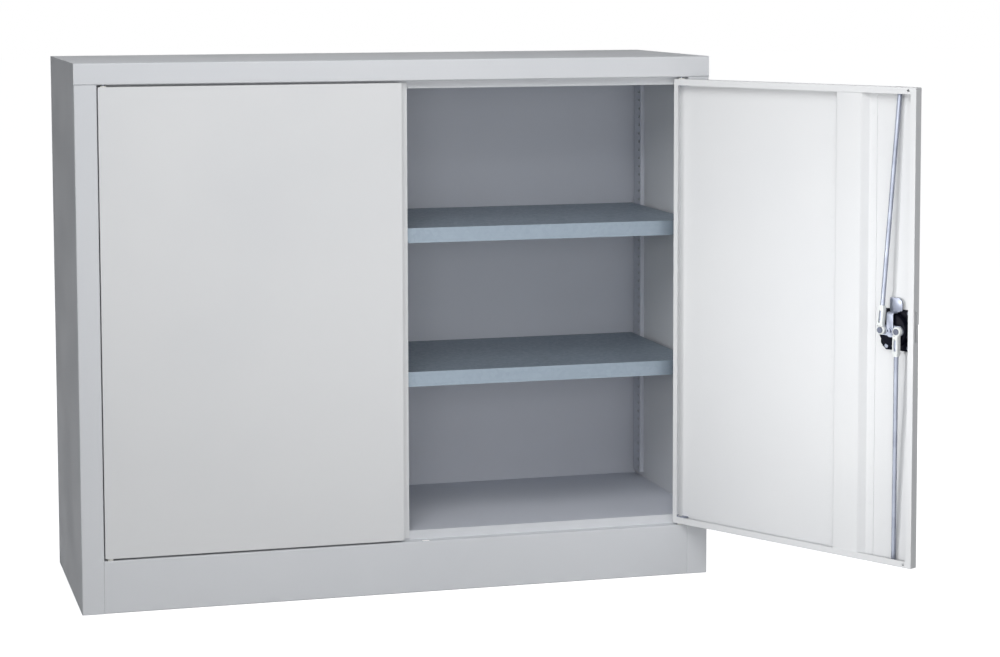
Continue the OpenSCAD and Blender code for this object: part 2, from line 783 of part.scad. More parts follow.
// Clip: an eye on the rotor's stud and a socket for the rod
module rod_clip(side) difference() {
  union() {
    lock() translate([side * crank_r, 0, 0]) across(v_clip, v_clip + clip_head_t, clip_head_r);
    intersection() {
      rod_place(side) mirror([0, 0, side > 0 ? 0 : 1]) {
        translate([0, 0, rod_clip_len / 2]) cube([12, 2 * (rod_r + rod_wall), rod_clip_len], center = true);
      }
      lock() plate(v_clip, v_clip + rod_clip_len) square(4 * rod_clip_len, center = true);
    }
  }
  lock() translate([side * crank_r, 0, 0]) across(v_clip - 1, v_clip + 20, stud_r + pin_play);
  lock() translate([side * crank_r, 0, 0]) across(v_clip + clip_head_t, v_clip + 20, clip_head_r + 0.5);
  rod_place(side) mirror([0, 0, side > 0 ? 0 : 1])
    translate([0, 0, rod_start]) cylinder(h = rod_clip_len, r = rod_r + seat_play);
}

module rod_clip_upper() color("whitesmoke") rod_clip(1);

module rod_clip_lower() color("whitesmoke") rod_clip(-1);

// ---------------------------------------------------------------- assembly

side_panel_left();
side_panel_right();
top_cap();
back_panel();
floor_panel();
plinth_front();
centre_strut();
rail_front_left();
rail_front_right();
rail_rear_left();
rail_rear_right();
shelf_upper();
shelf_lower();
shelf_clips();
hinge_pins();
door_skin_left();
stiffener_left();
astragal_strip();
hinge_brackets_left();
hinge_bushes_left();
door_skin_right();
stiffener_right();
hinge_brackets_right();
hinge_bushes_right();
rod_guides();
handle_shell();
lock_base_plate();
lock_screws();
turn_handle();
lock_rotor();
rotor_pins();
latch_tongue();
rotor_screw();
lock_barrel();
lock_plug();
rod_upper();
rod_clip_upper();
rod_lower();
rod_clip_lower();
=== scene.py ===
"""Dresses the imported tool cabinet: paint, metal and plastic finishes, finer lock parts, light and camera.

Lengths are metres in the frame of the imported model: +Z up, +X to the right, the doors towards -Y.
"""

from __future__ import annotations

import json
import logging
import math
from collections.abc import Callable
from dataclasses import dataclass, field
from enum import Enum

import bmesh
import bpy
from mathutils import Matrix, Vector

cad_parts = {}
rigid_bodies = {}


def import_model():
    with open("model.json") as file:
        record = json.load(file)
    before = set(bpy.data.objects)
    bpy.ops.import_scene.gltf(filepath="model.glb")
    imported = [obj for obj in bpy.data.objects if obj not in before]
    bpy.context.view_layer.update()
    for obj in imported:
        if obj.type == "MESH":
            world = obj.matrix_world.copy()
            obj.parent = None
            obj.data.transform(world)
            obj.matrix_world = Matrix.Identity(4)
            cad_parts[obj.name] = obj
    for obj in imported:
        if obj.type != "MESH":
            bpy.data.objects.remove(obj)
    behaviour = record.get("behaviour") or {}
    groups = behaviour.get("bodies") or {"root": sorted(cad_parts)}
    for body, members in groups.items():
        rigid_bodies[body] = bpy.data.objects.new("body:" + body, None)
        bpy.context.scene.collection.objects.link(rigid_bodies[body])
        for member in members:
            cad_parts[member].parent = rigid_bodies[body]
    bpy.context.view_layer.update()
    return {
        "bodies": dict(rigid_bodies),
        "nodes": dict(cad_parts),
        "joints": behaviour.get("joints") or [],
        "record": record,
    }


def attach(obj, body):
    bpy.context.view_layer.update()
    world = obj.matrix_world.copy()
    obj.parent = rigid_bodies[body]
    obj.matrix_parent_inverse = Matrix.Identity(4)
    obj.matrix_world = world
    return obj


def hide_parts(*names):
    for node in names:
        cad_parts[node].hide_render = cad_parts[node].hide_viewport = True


LOG = logging.getLogger("tool_cabinet")

RGB = tuple[float, float, float]
MM = 0.001
# Least share of a unit direction that counts as lying along an axis
ALONG = 0.9
# How far in millimetres a cutter passes the face that it cuts
OVERRUN = 1.0


def linear(red: int, green: int, blue: int) -> RGB:
    """Turns a colour written in eight-bit display values into scene-linear values.

    Args:
        red: Red from 0 to 255.
        green: Green from 0 to 255.
        blue: Blue from 0 to 255.

    Returns:
        The three linear values.
    """
    parts = []
    for value in (red, green, blue):
        share = value / 255
        parts.append(share / 12.92 if share <= 0.04045 else ((share + 0.055) / 1.055) ** 2.4)
    return parts[0], parts[1], parts[2]


class Metal(Enum):
    """Whether a finish conducts."""

    NO = 0.0
    YES = 1.0


class Shader:
    """A node material under construction, on Object coordinates."""

    def __init__(self, name: str) -> None:
        """Starts a material with an empty Principled shader.

        Args:
            name: Name of the material.
        """
        self.material = bpy.data.materials.new(name)
        self.material.use_nodes = True
        self.tree = self.material.node_tree
        self.shader = self.tree.nodes["Principled BSDF"]
        self.place = self.tree.nodes.new("ShaderNodeTexCoord").outputs["Object"]
        self.height: bpy.types.NodeSocket | None = None

    def set(self, **values: object) -> None:
        """Writes constants onto the shader's own sockets, with _ for each space in a socket's name."""
        for key, value in values.items():
            self.shader.inputs[key.replace("_", " ")].default_value = value

    def join(self, source: bpy.types.NodeSocket, node: bpy.types.Node, socket: str | int) -> None:
        """Links an output to an input of a node."""
        self.tree.links.new(source, node.inputs[socket])

    def stretched(self, scale: RGB) -> bpy.types.NodeSocket:
        """Gives Object coordinates scaled per axis.

        Args:
            scale: Factor along each axis.

        Returns:
            The scaled vector.
        """
        node = self.tree.nodes.new("ShaderNodeMapping")
        node.inputs["Scale"].default_value = scale
        self.join(self.place, node, "Vector")
        return node.outputs["Vector"]

    def noise(self, scale: float, detail: float = 3.0, stretch: RGB | None = None) -> bpy.types.NodeSocket:
        """Adds a noise pattern.

        Args:
            scale: Waves per metre, roughly.
            detail: Octaves.
            stretch: Factor along each axis, for brushed or rolled patterns.

        Returns:
            The pattern's value, about 0.5 on average.
        """
        node = self.tree.nodes.new("ShaderNodeTexNoise")
        node.inputs["Scale"].default_value = scale
        node.inputs["Detail"].default_value = detail
        self.join(self.stretched(stretch) if stretch else self.place, node, "Vector")
        return node.outputs["Fac"]

    def cells(self, scale: float) -> tuple[bpy.types.NodeSocket, bpy.types.NodeSocket]:
        """Adds a cell pattern, as of zinc spangle.

        Args:
            scale: Cells per metre, roughly.

        Returns:
            The cell's colour and the distance in it.
        """
        node = self.tree.nodes.new("ShaderNodeTexVoronoi")
        node.inputs["Scale"].default_value = scale
        self.join(self.place, node, "Vector")
        return node.outputs["Color"], node.outputs["Distance"]

    def ramp(self, source: bpy.types.NodeSocket, low: float, high: float,
             start: float, end: float) -> bpy.types.NodeSocket:
        """Maps a range of a value onto another range.

        Args:
            source: The value.
            low: Input that gives start.
            high: Input that gives end.
            start: Output at low.
            end: Output at high.

        Returns:
            The mapped value.
        """
        node = self.tree.nodes.new("ShaderNodeMapRange")
        for socket, value in zip(("From Min", "From Max", "To Min", "To Max"), (low, high, start, end)):
            node.inputs[socket].default_value = value
        self.join(source, node, "Value")
        return node.outputs["Result"]

    def blend(self, share: bpy.types.NodeSocket, first: RGB | bpy.types.NodeSocket,
              second: RGB) -> bpy.types.NodeSocket:
        """Mixes two colours.

        Args:
            share: How much of the second shows.
            first: The first colour, or the output that carries it.
            second: The second colour.

        Returns:
            The mixed colour.
        """
        node = self.tree.nodes.new("ShaderNodeMix")
        node.data_type = "RGBA"
        self.join(share, node, "Factor")
        if isinstance(first, tuple):
            node.inputs[6].default_value = (*first, 1.0)
        else:
            self.join(first, node, 6)
        node.inputs[7].default_value = (*second, 1.0)
        return node.outputs[2]

    def bump(self, source: bpy.types.NodeSocket, depth: float, strength: float = 1.0) -> None:
        """Adds a height pattern over those that came before.

        Args:
            source: The height pattern.
            depth: Height in metres between 0 and 1 of the pattern.
            strength: Share of the effect.
        """
        node = self.tree.nodes.new("ShaderNodeBump")
        node.inputs["Distance"].default_value = depth
        node.inputs["Strength"].default_value = strength
        self.join(source, node, "Height")
        if self.height is not None:
            self.join(self.height, node, "Normal")
        self.height = node.outputs["Normal"]

    def done(self, color: bpy.types.NodeSocket, roughness: bpy.types.NodeSocket) -> bpy.types.Material:
        """Wires colour, roughness and height to the shader.

        Args:
            color: The surface's colour.
            roughness: The surface's roughness.

        Returns:
            The finished material.
        """
        self.join(color, self.shader, "Base Color")
        self.join(roughness, self.shader, "Roughness")
        if self.height is not None:
            self.join(self.height, self.shader, "Normal")
        return self.material


@dataclass(frozen=True)
class PowderCoat:
    """Light grey powder coat: orange peel, slow waves of the sheet, faint dust and handling marks.

    A scale is in waves per metre and a depth in metres.
    """

    name: str
    color: RGB
    dusty: RGB
    roughness: float = 0.5
    peel_depth: float = 0.00005
    gloss: float = 0.03
    cloud_scale: float = 2.6
    fleck_scale: float = 420.0
    mark_scale: float = 9.0
    peel_scale: float = 620.0
    wave_scale: float = 1.9
    wave_depth: float = 0.0012

    def material(self) -> bpy.types.Material:
        """Builds the coat.

        Returns:
            The material.
        """
        coat = Shader(self.name)
        coat.set(Metallic=Metal.NO.value, IOR=1.5, Specular_IOR_Level=self.gloss)
        clouds = coat.noise(self.cloud_scale, 3.0)
        flecks = coat.noise(self.fleck_scale, 2.0)
        color = coat.blend(coat.ramp(clouds, 0.42, 0.68, 0.0, 0.3), self.color, self.dusty)
        color = coat.blend(coat.ramp(flecks, 0.62, 0.8, 0.0, 0.25), color, self.dusty)
        coat.bump(coat.noise(self.wave_scale, 1.0), self.wave_depth, 0.5)
        coat.bump(coat.noise(self.peel_scale, 2.0), self.peel_depth)
        marks = coat.noise(self.mark_scale, 4.0)
        return coat.done(color, coat.ramp(marks, 0.3, 0.7, self.roughness - 0.05, self.roughness + 0.07))


@dataclass(frozen=True)
class ZincSheet:
    """Hot-dip galvanised sheet with spangle and rolling streaks.

    A scale is in waves or cells per metre and a depth in metres.
    """

    name: str
    color: RGB
    dark: RGB
    roughness: float = 0.42
    metallic: float = 0.4
    spangle_scale: float = 150.0
    spangle_depth: float = 0.00003
    streak_scale: float = 3.0
    streak_stretch: RGB = (2.0, 60.0, 60.0)
    wave_scale: float = 2.2
    wave_depth: float = 0.0009

    def material(self) -> bpy.types.Material:
        """Builds the sheet.

        Returns:
            The material.
        """
        sheet = Shader(self.name)
        sheet.set(Metallic=self.metallic)
        spangle, inner = sheet.cells(self.spangle_scale)
        tone = sheet.ramp(spangle, 0.0, 1.0, 0.0, 0.3)
        color = sheet.blend(tone, self.color, self.dark)
        streaks = sheet.noise(self.streak_scale, 4.0, self.streak_stretch)
        color = sheet.blend(sheet.ramp(streaks, 0.45, 0.7, 0.0, 0.12), color, self.dark)
        sheet.bump(inner, self.spangle_depth)
        sheet.bump(sheet.noise(self.wave_scale, 1.0), self.wave_depth, 0.5)
        return sheet.done(color, sheet.ramp(spangle, 0.0, 1.0, self.roughness - 0.08, self.roughness + 0.1))


@dataclass(frozen=True)
class PlatedSteel:
    """Turned, drawn or pressed steel with bright zinc plating."""

    name: str
    color: RGB
    shade: RGB
    roughness: float = 0.27
    grain: RGB = (1.0, 1.0, 1.0)
    mark_scale: float = 90.0
    mark_depth: float = 0.00004
    stain_scale: float = 28.0

    def material(self) -> bpy.types.Material:
        """Builds the plating.

        Returns:
            The material.
        """
        plating = Shader(self.name)
        plating.set(Metallic=Metal.YES.value)
        marks = plating.noise(self.mark_scale, 5.0, self.grain)
        stain = plating.noise(self.stain_scale, 3.0)
        color = plating.blend(plating.ramp(stain, 0.4, 0.75, 0.0, 0.6), self.color, self.shade)
        plating.bump(marks, self.mark_depth)
        polish = plating.ramp(marks, 0.3, 0.7, self.roughness - 0.07, self.roughness + 0.12)
        return plating.done(color, polish)


@dataclass(frozen=True)
class Moulding:
    """Moulded plastic with a fine erosion texture and faint flow lines."""

    name: str
    color: RGB
    worn: RGB
    roughness: float
    texture: float = 0.00004
    coat: float = 0.0
    gloss: float = 0.3
    coat_roughness: float = 0.18
    grain_scale: float = 1500.0
    flow_scale: float = 55.0

    def material(self) -> bpy.types.Material:
        """Builds the plastic.

        Returns:
            The material.
        """
        plastic = Shader(self.name)
        plastic.set(Metallic=Metal.NO.value, IOR=1.49, Specular_IOR_Level=self.gloss, Coat_Weight=self.coat,
                    Coat_Roughness=self.coat_roughness)
        grain = plastic.noise(self.grain_scale, 2.0)
        flow = plastic.noise(self.flow_scale, 3.0)
        color = plastic.blend(plastic.ramp(flow, 0.45, 0.75, 0.0, 0.5), self.color, self.worn)
        plastic.bump(grain, self.texture)
        return plastic.done(color, plastic.ramp(flow, 0.3, 0.7, self.roughness - 0.06, self.roughness + 0.08))


@dataclass(frozen=True)
class Finishes:
    """The finishes of the cabinet, by the record's material slots."""

    table: tuple[tuple[str, PowderCoat | ZincSheet | PlatedSteel | Moulding], ...] = (
        ("body_paint", PowderCoat("body_powder_coat", linear(216, 218, 221), linear(204, 207, 212))),
        # The inside coat is a bluer, slightly darker copy of the body coat: its tint is painted cool shade of
        # the cabinet's inside.
        ("inner_paint", PowderCoat("inner_powder_coat", linear(211, 214, 222), linear(198, 202, 211), 0.5)),
        ("door_paint", PowderCoat("door_powder_coat", linear(222, 223, 224), linear(211, 213, 216), 0.48)),
        ("shelf_zinc", ZincSheet("galvanised_shelf", linear(142, 155, 167), linear(125, 138, 150))),
        ("zinc_plate", PlatedSteel("zinc_plating", linear(158, 163, 176), linear(126, 131, 145), 0.5)),
        ("pin_steel", PlatedSteel("turned_steel", linear(96, 100, 112), linear(70, 74, 84), 0.32,
                                  (1.0, 1.0, 14.0))),
        ("bush_plastic", Moulding("bush_acetal", linear(220, 220, 214), linear(204, 203, 194), 0.42)),
        ("clip_plastic", Moulding("clip_nylon", linear(226, 229, 228), linear(206, 210, 210), 0.36)),
        ("black_plastic", Moulding("black_moulding", linear(13, 14, 24), linear(24, 26, 38), 0.5, 0.00006,
                                   0.0, 0.07)),
        ("handle_plastic", Moulding("grip_moulding", linear(26, 27, 32), linear(38, 39, 44), 0.3, 0.00002,
                                    0.3)),
        ("barrel_metal", PlatedSteel("polished_barrel", linear(214, 216, 220), linear(180, 183, 190), 0.12)),
        ("core_brass", PlatedSteel("brass_core", linear(196, 168, 104), linear(150, 124, 70), 0.24)),
    )

    def build(self) -> dict[str, bpy.types.Material]:
        """Builds every finish once.

        Returns:
            Material by slot name.
        """
        return {slot: finish.material() for slot, finish in self.table}


@dataclass
class Camera:
    """The photograph's viewpoint."""

    place: tuple[float, float, float] = (-1.046, -4.704, 1.155)
    yaw: float = 15.36
    pitch: float = 5.0
    roll: float = 0.15
    focal_px: float = 2499.0
    shift_px: float = -135.0
    width_px: float = 1000.0
    sensor_mm: float = 36.0
    sight: float = 60.0

    def build(self) -> None:
        """Adds the camera and makes it the scene's own."""
        yaw, pitch = math.radians(self.yaw), math.radians(self.pitch)
        forward = Vector((math.sin(yaw) * math.cos(pitch), math.cos(yaw) * math.cos(pitch), -math.sin(pitch)))
        right = forward.cross(Vector((0, 0, 1))).normalized()
        turn = Matrix.Rotation(math.radians(self.roll), 3, forward)
        right = turn @ right
        up = right.cross(forward)
        data = bpy.data.cameras.new("camera")
        data.sensor_width = self.sensor_mm
        data.lens = self.focal_px * self.sensor_mm / self.width_px
        data.shift_y = self.shift_px / self.width_px
        data.clip_end = self.sight
        camera = bpy.data.objects.new("camera", data)
        bpy.context.scene.collection.objects.link(camera)
        camera.matrix_world = Matrix((
            (right.x, up.x, -forward.x, self.place[0]),
            (right.y, up.y, -forward.y, self.place[1]),
            (right.z, up.z, -forward.z, self.place[2]),
            (0, 0, 0, 1),
        ))
        bpy.context.scene.camera = camera


@dataclass(frozen=True)
class Softbox:
    """A square studio light that looks at a point."""

    name: str
    place: tuple[float, float, float]
    aim: tuple[float, float, float]
    size: float
    power: float
    spread: float = 180.0

    def build(self) -> None:
        """Adds the light."""
        data = bpy.data.lights.new(self.name, "AREA")
        data.shape = "SQUARE"
        data.size = self.size
        data.energy = self.power
        data.spread = math.radians(self.spread)
        light = bpy.data.objects.new(self.name, data)
        light.visible_camera = False
        light.location = self.place
        light.rotation_euler = (Vector(self.aim) - Vector(self.place)).to_track_quat("-Z", "Y").to_euler()
        bpy.context.scene.collection.objects.link(light)


@dataclass
class Studio:
    """Pale floor, white surroundings and soft lights."""

    floor_size: float = 60.0
    floor_drop: float = 0.0005
    floor_shade: float = 0.8
    floor_glow: float = 0.88
    floor_bounce: float = 0.5
    fill_color: RGB = (0.91, 0.94, 1.0)
    fill_strength: float = 0.165
    lights: tuple[Softbox, ...] = (
        Softbox("key_softbox", (-0.5, -1.9, 2.3), (0.1, -0.2, 0.5), 1.6, 34.0),
        Softbox("front_softbox", (-0.4, -3.4, 0.5), (0.0, -0.2, 0.6), 1.8, 29.0),
        Softbox("right_softbox", (1.2, -3.2, 1.1), (0.0, -0.2, 0.5), 1.6, 5.5),
        Softbox("opening_softbox", (-3.29, -2.48, 1.0), (0.72, -0.5, 0.5), 0.6, 0.66, 26.0),
        Softbox("door_softbox", (-4.3, -1.6, 0.7), (0.82, -0.64, 0.5), 0.3, 1.1, 18.6),
        Softbox("rear_softbox", (2.6, 2.7, 0.55), (0.2, 0.1, 0.5), 0.9, 80.0),
    )

    def build(self) -> None:
        """Adds the world, the floor and the lights."""
        self._world()
        self._floor()
        for light in self.lights:
            light.build()

    def _white_rays(self, tree: bpy.types.NodeTree) -> bpy.types.NodeSocket:
        """Tells the rays that see the surroundings as plain white.

        Args:
            tree: The tree that needs the value.

        Returns:
            1 for camera, glossy and transmission rays, and 0 for others.
        """
        path = tree.nodes.new("ShaderNodeLightPath")
        total = path.outputs["Is Camera Ray"]
        for name in ("Is Glossy Ray", "Is Transmission Ray"):
            node = tree.nodes.new("ShaderNodeMath")
            node.operation = "MAXIMUM"
            tree.links.new(total, node.inputs[0])
            tree.links.new(path.outputs[name], node.inputs[1])
            total = node.outputs[0]
        return total

    def _world(self) -> None:
        """White surroundings for the rays that see them, and a low even light for the rest."""
        world = bpy.data.worlds.new("studio")
        world.use_nodes = True
        tree = world.node_tree
        seen = tree.nodes["Background"]
        seen.inputs["Color"].default_value = (1, 1, 1, 1)
        seen.inputs["Strength"].default_value = 1.0
        fill = tree.nodes.new("ShaderNodeBackground")
        fill.inputs["Color"].default_value = (*self.fill_color, 1)
        fill.inputs["Strength"].default_value = self.fill_strength
        mix = tree.nodes.new("ShaderNodeMixShader")
        tree.links.new(self._white_rays(tree), mix.inputs[0])
        tree.links.new(fill.outputs[0], mix.inputs[1])
        tree.links.new(seen.outputs[0], mix.inputs[2])
        tree.links.new(mix.outputs[0], tree.nodes["World Output"].inputs["Surface"])
        bpy.context.scene.world = world

    def _floor(self) -> None:
        """Pale floor: the camera sees it white but for the shadow, and other rays see plain grey."""
        bpy.ops.object.select_all(action="DESELECT")
        bpy.ops.mesh.primitive_plane_add(size=self.floor_size, location=(0, 0, -self.floor_drop))
        floor = bpy.context.object
        floor.name = "studio_floor"
        material = bpy.data.materials.new("studio_floor")
        material.use_nodes = True
        tree = material.node_tree
        tree.nodes.remove(tree.nodes["Principled BSDF"])
        matt = tree.nodes.new("ShaderNodeBsdfDiffuse")
        matt.inputs["Color"].default_value = (*3 * (self.floor_shade,), 1)
        bounce = tree.nodes.new("ShaderNodeBsdfDiffuse")
        bounce.inputs["Color"].default_value = (*3 * (self.floor_bounce,), 1)
        glow = tree.nodes.new("ShaderNodeEmission")
        glow.inputs["Strength"].default_value = self.floor_glow
        lit = tree.nodes.new("ShaderNodeAddShader")
        tree.links.new(matt.outputs[0], lit.inputs[0])
        tree.links.new(glow.outputs[0], lit.inputs[1])
        mix = tree.nodes.new("ShaderNodeMixShader")
        tree.links.new(self._white_rays(tree), mix.inputs[0])
        tree.links.new(bounce.outputs[0], mix.inputs[1])
        tree.links.new(lit.outputs[0], mix.inputs[2])
        tree.links.new(mix.outputs[0], tree.nodes["Material Output"].inputs["Surface"])
        floor.data.materials.append(material)


@dataclass
class CadDressing:
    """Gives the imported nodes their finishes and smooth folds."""

    finishes: dict[str, bpy.types.Material]
    smooth_angle: float = 32.0
    weld_reach: float = 1e-6
    group: bpy.types.NodeTree | None = field(default=None, init=False)

    def build(self, frame: dict) -> None:
        """Dresses every node by the slot that the record names for it.
        """
        self.group = self._smoothing()
        slots = {part["node"]: part["material_slot"] for part in frame["record"]["subparts"]}
        for node, piece in frame["nodes"].items():
            material = self.finishes[slots[node]]
            piece.data.materials.clear()
            piece.data.materials.append(material)
            modifier = piece.modifiers.new("smooth_folds", "NODES")
            modifier.node_group = self.group
            LOG.info("dressed %s with %s", node, material.name)

    def _smoothing(self) -> bpy.types.NodeTree:
        """Makes the node group that welds a mesh and shades its folds smooth.

        Returns:
            The node group.
        """
        group = bpy.data.node_groups.new("smooth_folds", "GeometryNodeTree")
        group.interface.new_socket("Geometry", in_out="INPUT", socket_type="NodeSocketGeometry")
        group.interface.new_socket("Geometry", in_out="OUTPUT", socket_type="NodeSocketGeometry")
        add = group.nodes.new
        start, end = add("NodeGroupInput"), add("NodeGroupOutput")
        weld = add("GeometryNodeMergeByDistance")
        weld.inputs["Distance"].default_value = self.weld_reach
        angle = add("GeometryNodeInputMeshEdgeAngle")
        sharp = add("FunctionNodeCompare")
        sharp.data_type = "FLOAT"
        sharp.operation = "GREATER_THAN"
        sharp.inputs[1].default_value = math.radians(self.smooth_angle)
        faces, edges = add("GeometryNodeSetShadeSmooth"), add("GeometryNodeSetShadeSmooth")
        edges.domain = "EDGE"
        edges.inputs["Shade Smooth"].default_value = False
        link = group.links.new
        link(start.outputs[0], weld.inputs["Geometry"])
        link(weld.outputs["Geometry"], faces.inputs["Geometry"])
        link(faces.outputs["Geometry"], edges.inputs["Geometry"])
        link(angle.outputs["Unsigned Angle"], sharp.inputs[0])
        link(sharp.outputs["Result"], edges.inputs["Selection"])
        link(edges.outputs["Geometry"], end.inputs[0])
        return group


Test = Callable[[Vector, Vector], bool]


class Part(Enum):
    """What a selection in edit mode is made of."""

    VERT = "verts"
    EDGE = "edges"
    FACE = "faces"


class Workpiece:
    """One mesh under Blender's own tools. Measures are millimetres in the lock's own frame.

    The frame has x from the lock's middle to the hinge side, y inwards from the door's outer face and z up.
    """

    def __init__(self, name: str) -> None:
        """Takes over the primitive that was just added.

        Args:
            name: Name of the piece.
        """
        self.thing = bpy.context.object
        self.thing.name = self.thing.data.name = name
        bpy.ops.object.transform_apply(location=True, rotation=True, scale=True)

    @classmethod
    def disc(cls, name: str, radius: float, low: float, high: float, sides: int = 64,
             at: tuple[float, float] = (0.0, 0.0)) -> Workpiece:
        """Adds a disc or rod across the door.

        Args:
            name: Name of the piece.
            radius: Its radius.
            low: Its face nearest the outside.
            high: Its face nearest the inside.
            sides: How many sides stand for the round.
            at: Its middle in x and z.

        Returns:
            The piece.
        """
        bpy.ops.object.select_all(action="DESELECT")
        bpy.ops.mesh.primitive_cylinder_add(
            vertices=sides, radius=radius * MM, depth=(high - low) * MM,
            location=(at[0] * MM, (low + high) / 2 * MM, at[1] * MM), rotation=(math.pi / 2, 0, 0))
        return cls(name)

    @classmethod
    def block(cls, name: str, low: tuple[float, float, float], high: tuple[float, float, float]) -> Workpiece:
        """Adds a block between two corners.

        Args:
            name: Name of the piece.
            low: Lowest corner.
            high: Highest corner.

        Returns:
            The piece.
        """
        first, last = Vector(low) * MM, Vector(high) * MM
        bpy.ops.object.select_all(action="DESELECT")
        bpy.ops.mesh.primitive_cube_add(size=1, location=(first + last) / 2, scale=last - first)
        return cls(name)

    def take(self, kind: Part, wanted: Test) -> Workpiece:
        """Goes into edit mode with only the wanted elements selected.

        Args:
            kind: Points, edges or faces.
            wanted: Says yes or no for an element's middle in millimetres and its normal or direction.

        Returns:
            The piece itself.
        """
        bpy.context.view_layer.objects.active = self.thing
        self.thing.select_set(True)
        bpy.ops.object.mode_set(mode="EDIT")
        bpy.ops.mesh.select_mode(type=kind.name)
        bpy.ops.mesh.select_all(action="DESELECT")
        mesh = bmesh.from_edit_mesh(self.thing.data)
        for item in getattr(mesh, kind.value):
            points = [item.co] if kind is Part.VERT else [vertex.co for vertex in item.verts]
            middle = sum(points, Vector()) / len(points) / MM
            way = (points[1] - points[0]).normalized() if kind is Part.EDGE else item.normal
            item.select_set(wanted(middle, way))
        mesh.select_flush_mode()
        bmesh.update_edit_mesh(self.thing.data)
        return self

    def leave(self) -> Workpiece:
        """Goes back to object mode."""
        bpy.ops.object.mode_set(mode="OBJECT")
        return self

    def extrude(self, x: float = 0.0, y: float = 0.0, z: float = 0.0) -> Workpiece:
        """Extrudes the selection by a way in millimetres."""
        bpy.ops.mesh.extrude_region_move(TRANSFORM_OT_translate={"value": Vector((x, y, z)) * MM})
        return self

    def inset(self, width: float, depth: float = 0.0) -> Workpiece:
        """Insets the selected faces, and sinks them where depth is negative."""
        bpy.ops.mesh.inset(thickness=width * MM, depth=depth * MM)
        return self

    def bevel(self, width: float, segments: int = 3) -> Workpiece:
        """Bevels the selected edges."""
        bpy.ops.mesh.bevel(offset=width * MM, segments=segments, affect="EDGES")
        return self

    def scale(self, factors: tuple[float, float, float],
              about: tuple[float, float, float] = (0.0, 0.0, 0.0)) -> Workpiece:
        """Scales the selection about a point in millimetres."""
        bpy.ops.transform.resize(value=factors, center_override=Vector(about) * MM)
        return self

    def move(self, x: float = 0.0, y: float = 0.0, z: float = 0.0) -> Workpiece:
        """Moves the selection."""
        bpy.ops.transform.translate(value=Vector((x, y, z)) * MM)
        return self

    def apply(self, kind: str, **settings: object) -> Workpiece:
        """Adds a modifier and applies it.

        Args:
            kind: Blender's name for the kind of modifier.
            settings: Its settings.

        Returns:
            The piece itself.
        """
        bpy.ops.object.select_all(action="DESELECT")
        self.thing.select_set(True)
        bpy.context.view_layer.objects.active = self.thing
        modifier = self.thing.modifiers.new(kind.lower(), kind)
        for key, value in settings.items():
            setattr(modifier, key, value)
        bpy.ops.object.modifier_apply(modifier=modifier.name)
        return self

    def soften(self, width: float, segments: int = 2, angle: float = 35.0) -> Workpiece:
        """Breaks every edge that is sharper than an angle."""
        return self.apply("BEVEL", width=width * MM, segments=segments, limit_method="ANGLE",
                          angle_limit=math.radians(angle), harden_normals=False)

    def combine(self, other: Workpiece, way: str) -> Workpiece:
        """Joins another piece to this one, or cuts it out, and discards the other.

        Args:
            other: The other piece.
            way: UNION or DIFFERENCE.

        Returns:
            The piece itself.
        """
        self.apply("BOOLEAN", object=other.thing, operation=way, solver="EXACT")
        bpy.data.objects.remove(other.thing, do_unlink=True)
        return self

    def gather(self, others: list[Workpiece]) -> Workpiece:
        """Joins loose pieces into this one's mesh.

        Args:
            others: The loose pieces.

        Returns:
            The piece itself.
        """
        bpy.ops.object.select_all(action="DESELECT")
        for other in others:
            other.thing.select_set(True)
        self.thing.select_set(True)
        bpy.context.view_layer.objects.active = self.thing
        bpy.ops.object.join()
        return self

    def copy(self, x: float = 0.0, y: float = 0.0, z: float = 0.0) -> Workpiece:
        """Copies the piece with its own mesh to another place.

        Args:
            x: Way towards the hinge side.
            y: Way inwards.
            z: Way up.

        Returns:
            The copy.
        """
        bpy.ops.object.select_all(action="DESELECT")
        twin = self.thing.copy()
        twin.data = self.thing.data.copy()
        bpy.context.scene.collection.objects.link(twin)
        bpy.context.view_layer.objects.active = twin
        twin.select_set(True)
        twin.location = Vector((x, y, z)) * MM
        return Workpiece(self.thing.name)

    def put(self, place: Matrix) -> Workpiece:
        """Moves the whole piece from its own frame into another.

        Args:
            place: The frame that it was made in.

        Returns:
            The piece itself.
        """
        bpy.ops.object.select_all(action="DESELECT")
        self.thing.select_set(True)
        bpy.context.view_layer.objects.active = self.thing
        self.thing.matrix_world = place
        bpy.ops.object.transform_apply(location=True, rotation=True, scale=True)
        return self

    def settle(self, place: Matrix, angle: float = 35.0) -> Workpiece:
        """Puts the piece in its place in the model and shades it.

        Args:
            place: The frame that it was made in.
            angle: Folds sharper than this stay crisp.

        Returns:
            The piece itself.
        """
        self.put(place)
        bpy.ops.object.mode_set(mode="EDIT")
        bpy.ops.mesh.select_all(action="SELECT")
        bpy.ops.mesh.remove_doubles(threshold=1e-6)
        bpy.ops.mesh.normals_make_consistent(inside=False)
        bpy.ops.object.mode_set(mode="OBJECT")
        bpy.ops.object.shade_smooth_by_angle(angle=math.radians(angle))
        return self


@dataclass
class Dresser:
    """Hands each new piece its finish, its slot and the body that it rides on."""

    finishes: dict[str, bpy.types.Material]

    def dress(self, piece: Workpiece, slot: str, body: str, *nodes: str) -> None:
        """Finishes one piece.

        Args:
            piece: The piece.
            slot: The material slot that its finish comes from.
            body: The body that it rides on.
            nodes: The nodes that it stands for.
        """
        piece.thing.data.materials.clear()
        piece.thing.data.materials.append(self.finishes[slot])
        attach(piece.thing, body)
        if nodes:
            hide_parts(*nodes)
        LOG.info("made %s for %s, on %s", piece.thing.name, ", ".join(nodes) or "itself", body)


